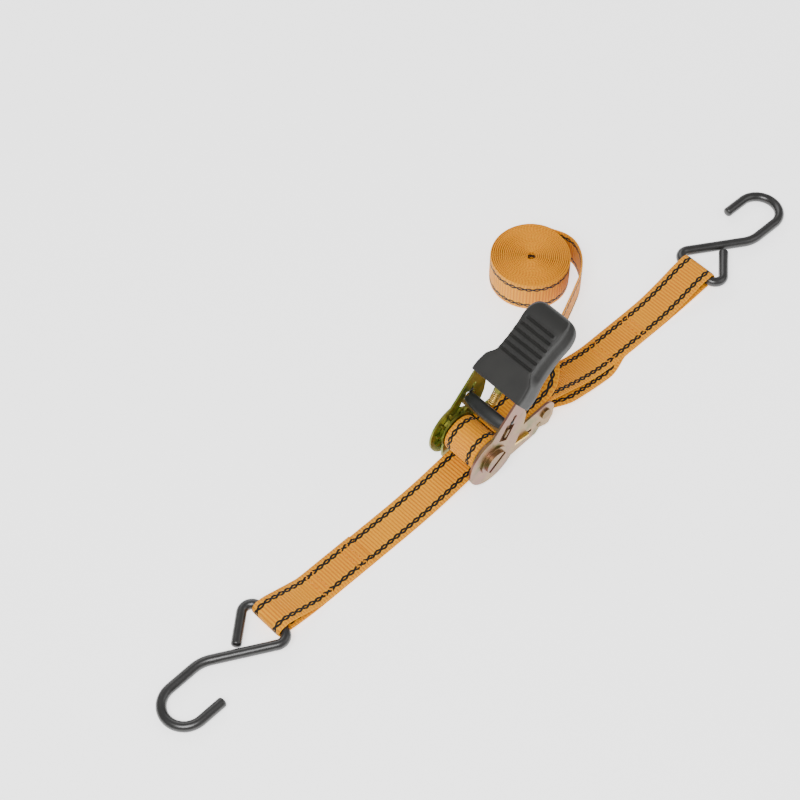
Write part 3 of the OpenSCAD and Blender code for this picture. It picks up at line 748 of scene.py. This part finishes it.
def build_pull():
    """A pressed bar between the handle arms, bowed in its middle, with a tab in each keyhole slot."""
    verts, faces = [], []
    n = 48
    ring = 20
    low = (dn * 0.42 - dd * 0.91).normalized()
    out = (dn * 0.91 + dd * 0.42).normalized()
    for i in range(n + 1):
        f = -1 + 2 * i / n
        bow = 1 - f * f
        c = SPOOL + (dd * (TIP + 7.9) + dn * (2.7 + 1.9 * bow)) * MM + Y * (f * 16.9) * MM
        half = 4.5 - 1.4 * abs(f) ** 4
        for j in range(ring):
            ang = 2 * math.pi * j / ring
            cx, sy = math.cos(ang), math.sin(ang)
            across = half * math.copysign(abs(sy) ** 0.55, sy)
            deep = 0.95 * math.copysign(abs(cx) ** 0.7, cx) - 0.055 * across * across
            verts.append(c + (low * across + out * deep) * MM)
        if i:
            p, q = (i - 1) * ring, i * ring
            for j in range(ring):
                k = (j + 1) % ring
                faces.append((p + j, p + k, q + k, q + j))
    faces.append(tuple(range(ring - 1, -1, -1)))
    faces.append(tuple(n * ring + j for j in range(ring)))
    for s in (-1, 1):
        b0 = len(verts)
        for y in (16.5, 19.0):
            for r, t in ((TIP + 10.4, -1.05), (TIP + 12.6, -1.05), (TIP + 12.6, 1.05), (TIP + 10.4, 1.05)):
                verts.append(SPOOL + dd * r * MM + dn * t * MM + Y * s * y * MM)
        quads = [(0, 1, 2, 3), (7, 6, 5, 4), (0, 4, 5, 1), (1, 5, 6, 2), (2, 6, 7, 3), (3, 7, 4, 0)]
        for fc in quads:
            faces.append(tuple(b0 + k for k in (fc if s > 0 else reversed(fc))))
    ob = add_mesh("release_bar", verts, faces, BLACK)
    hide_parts("release_pull")
    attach(ob, "drive")
    return ob


build_pull()
ds = coil("drive_spring_coil", SPOOL + dd * (TIP + 12.8) * MM, dd, 0.0096, 0.0027, 0.00042, 6.5, ZINC_GOLD)
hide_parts("drive_pawl_spring")
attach(ds, "handle")
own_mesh(ds)
ld = LOCK_DIR.normalized()
# The middle of the lock pawl's spring, level with the mandrel's centre plane.
lock_mid = Vector((mid("lock_pawl_spring").x, SPOOL.y, mid("lock_pawl_spring").z))
ls = coil("lock_spring_coil", lock_mid - ld * 0.00405, ld, 0.0081, 0.0027, 0.0004, 5.5, ZINC_GOLD)
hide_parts("lock_pawl_spring")
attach(ls, "frame")
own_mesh(ls)

# ---------------------------------------------------------------- metal

finish = {
    "base_plate_near": ZINC, "base_plate_far": ZINC_FAR, "base_cross_tie": ZINC_DARK, "rear_bolt": ZINC_DARK,
    "rear_bolt_sleeve": ZINC_GOLD, "lock_pawl": ZINC_GOLD,
    "mandrel_half_upper": ZINC, "mandrel_half_lower": ZINC,
    "ratchet_wheel_near": ZINC, "ratchet_wheel_far": ZINC_FAR,
    "handle_arm_near": ZINC, "handle_arm_far": ZINC_FAR,
    "handle_bridge": ZINC_FAR, "drive_pawl": ZINC_DARK,
}
for name, mat in finish.items():
    ob = cad[name]
    ob.data.materials.clear()
    ob.data.materials.append(mat)
    bevel(ob, 0.00022)

# ---------------------------------------------------------------- floor, light, camera


def floor_material():
    m = Mat("floor_white")
    co = m.coords().outputs["Object"]
    n = m.noise(co, 3.0, 2.0, 0.5)
    colour = m.mix(n, (0.90, 0.90, 0.90, 1), (0.93, 0.93, 0.93, 1))
    return m.set(Base_Color=colour, Roughness=0.9, Emission_Color=(1.0, 1.0, 1.0, 1), Emission_Strength=1.5)


bpy.ops.mesh.primitive_plane_add(size=12, location=(0, 0, -0.0002))
floor = bpy.context.object
floor.name = "floor"
floor.data.materials.append(floor_material())


def area_light(name, location, size, power, target=(0, 0, 0.02), colour=(1, 1, 1)):
    data = bpy.data.lights.new(name, "AREA")
    data.shape = "RECTANGLE"
    data.size, data.size_y = size
    data.energy = power
    data.color = colour
    ob = bpy.data.objects.new(name, data)
    bpy.context.scene.collection.objects.link(ob)
    ob.location = location
    ob.rotation_euler = (Vector(target) - Vector(location)).to_track_quat("-Z", "Y").to_euler()
    return ob


area_light("key", (-0.9, -0.5, 1.5), (0.8, 0.8), 34)
area_light("fill", (0.9, -1.1, 1.2), (1.4, 1.0), 7)
area_light("back", (0.5, 1.2, 1.1), (1.4, 0.8), 8)
world = bpy.data.worlds.new("studio")
bpy.context.scene.world = world
world.use_nodes = True
bg = world.node_tree.nodes["Background"]
bg.inputs[0].default_value = (1.0, 1.0, 1.0, 1)
bg.inputs[1].default_value = 0.55

AZ, EL, DIST, SCALE = math.radians(-44), math.radians(54.5), 1.3, 1580.0
right = Vector((math.cos(AZ), math.sin(AZ), 0))
back = Vector((math.sin(AZ) * math.cos(EL), -math.cos(AZ) * math.cos(EL), math.sin(EL)))
up = back.cross(right)
f_unit = SCALE * DIST / 800
ref = SPOOL + Vector((0, -0.0186, 0))
cam_data = bpy.data.cameras.new("camera")
cam_data.lens = f_unit * 36
cam_data.sensor_width = 36
cam_data.dof.use_dof = False
cam_data.clip_start = 0.05
cam = bpy.data.objects.new("camera", cam_data)
bpy.context.scene.collection.objects.link(cam)
OFF_R, OFF_U = 0.1165, -0.0741
aim = -back + right * (OFF_R / f_unit) + up * (OFF_U / f_unit)
cam.location = ref - aim * DIST
m3 = Matrix((right, up, back)).transposed()
cam.matrix_world = Matrix.Translation(cam.location) @ m3.to_4x4()
bpy.context.scene.camera = cam
